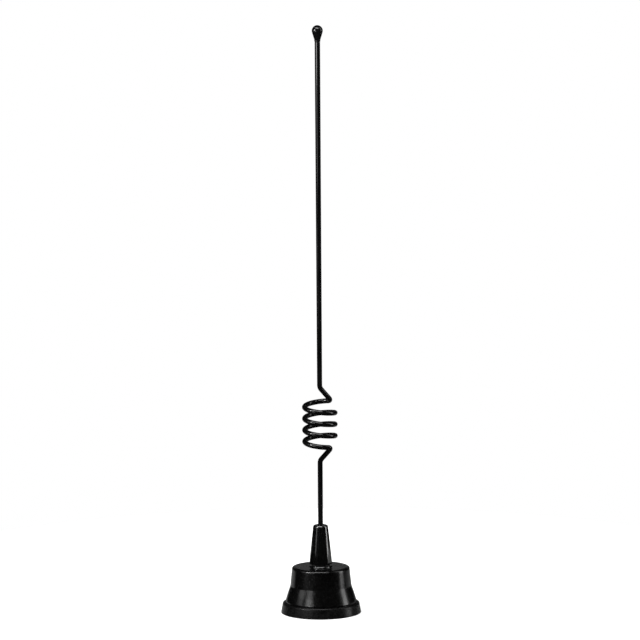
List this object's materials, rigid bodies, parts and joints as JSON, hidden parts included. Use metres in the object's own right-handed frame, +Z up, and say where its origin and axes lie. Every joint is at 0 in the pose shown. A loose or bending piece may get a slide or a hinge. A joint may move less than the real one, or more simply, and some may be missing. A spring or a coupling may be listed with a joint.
{
  "type": "omnidirectional antenna",
  "caption": "Roof-mount omnidirectional whip antenna: ball-tipped black whip with an open phasing coil, hex-footed cone ferrule, flared coil housing and rubber roof gasket.",
  "frame": {"origin": "centre of the roof gasket's underside, where the antenna sits on a vehicle's roof", "axes": "+Z up along the whip and the mount's thread; -Y is the front, as pictured; +X is to its right"},
  "size_m": [0.0442, 0.0442, 0.3275],
  "materials": {
    "black_coat": "semi-gloss black coating on steel wire",
    "black_plating": "glossy black plating on turned brass",
    "screw_steel": "black oxide",
    "rubber": "matte black",
    "gasket_rubber": "matte black, slightly chalky",
    "zinc_steel": "zinc plated",
    "tinned_copper": "tinned copper",
    "housing_plastic": "semi-gloss moulded, fine grain",
    "form_plastic": "natural moulded",
    "copper_enamel": "enamelled copper wire",
    "disc_plastic": "natural moulded",
    "brass": "machined",
    "nickel": "nickel plated"
  },
  "bodies": {
    "base": {"roof_gasket": "gasket_rubber", "housing": "housing_plastic", "threaded_ring": "brass", "base_disc": "disc_plastic", "coil_form": "form_plastic", "matching_coil": "copper_enamel", "feed_lead": "tinned_copper", "ground_lead": "tinned_copper", "contact_sleeve": "brass", "contact_spring": "zinc_steel", "top_stud": "black_plating", "stud_seal": "rubber", "stud_washer": "zinc_steel", "solder_lug": "tinned_copper", "stud_nut": "zinc_steel"},
    "seal": {"ferrule_seal": "rubber"},
    "ferrule": {"ferrule": "black_plating"},
    "whip": {"whip": "black_coat", "tip_ball": "black_coat"},
    "set_screw_upper": {"set_screw_upper": "screw_steel"},
    "set_screw_lower": {"set_screw_lower": "screw_steel"},
    "contact": {"contact_pin": "nickel"}
  },
  "joints": [
    {"name": "ferrule_lift", "type": "slide", "parent": "base", "child": "seal", "axis": [0, 0, 1], "range_m": [0, 0.00636]},
    {"name": "ferrule_turn", "type": "hinge", "parent": "seal", "child": "ferrule", "pos_m": [0, 0, 0.02695], "axis": [0, 0, 1], "range_deg": [0, 2160]},
    {"name": "whip_height", "type": "slide", "parent": "ferrule", "child": "whip", "axis": [0, 0, 1], "range_m": [-0.0005, 0.0112]},
    {"name": "set_screw_upper_out", "type": "slide", "parent": "ferrule", "child": "set_screw_upper", "axis": [0, 1, 0], "range_m": [0, 0.0015]},
    {"name": "set_screw_lower_out", "type": "slide", "parent": "ferrule", "child": "set_screw_lower", "axis": [0, 1, 0], "range_m": [0, 0.0015]},
    {"name": "contact_plunge", "type": "slide", "parent": "base", "child": "contact", "axis": [0, 0, 1], "range_m": [0, 0.002], "stiffness_N_per_m": 300, "springref_m": -0.001, "deforming": ["contact_spring"]}
  ],
  "couplings": [
    {"joint": "ferrule_lift", "follows": "ferrule_turn", "m_per_rad": 0.00016844}
  ]
}
